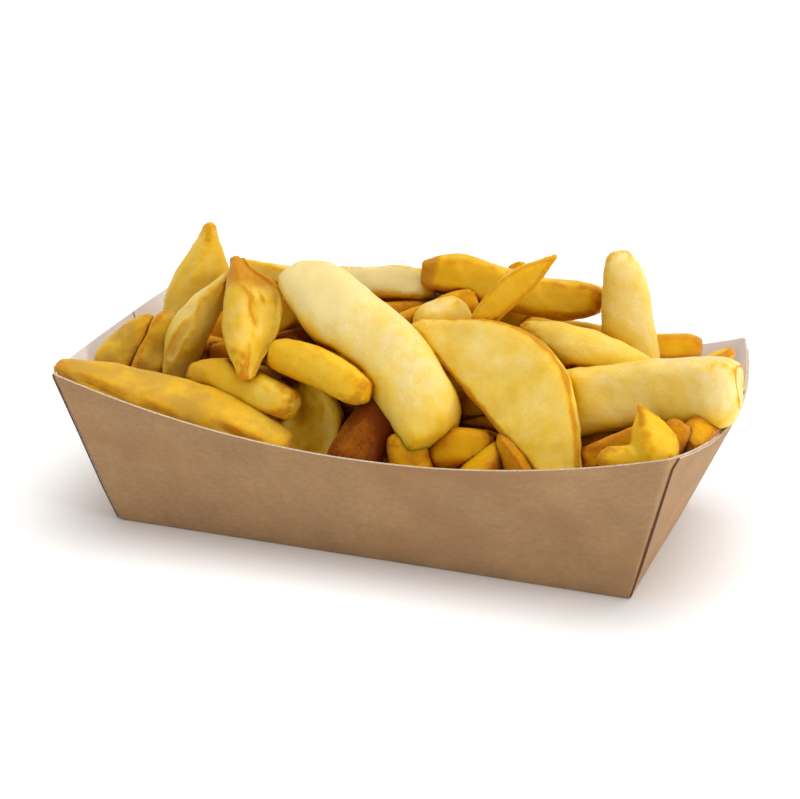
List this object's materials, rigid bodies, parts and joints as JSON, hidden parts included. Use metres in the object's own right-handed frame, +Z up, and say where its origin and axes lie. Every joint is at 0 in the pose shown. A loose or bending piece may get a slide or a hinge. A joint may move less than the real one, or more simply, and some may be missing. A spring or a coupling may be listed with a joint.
{
  "type": "french fries in a carton",
  "caption": "Open folded board tray with sloping bowed walls, heaped with thick-cut french fries that rise above its dipped rim.",
  "frame": {"origin": "middle of the tray's underside", "axes": "+X along the tray, +Z up, -Y towards the long side that is shown"},
  "size_m": [0.1962, 0.1038, 0.0852],
  "materials": {
    "kraft_board": "matte brown board outside, white lining inside",
    "fried_potato": "satin, lightly oiled, browned at edges and tips"
  },
  "bodies": {
    "root": {"carton": "kraft_board", "fries": "fried_potato"}
  },
  "joints": []
}
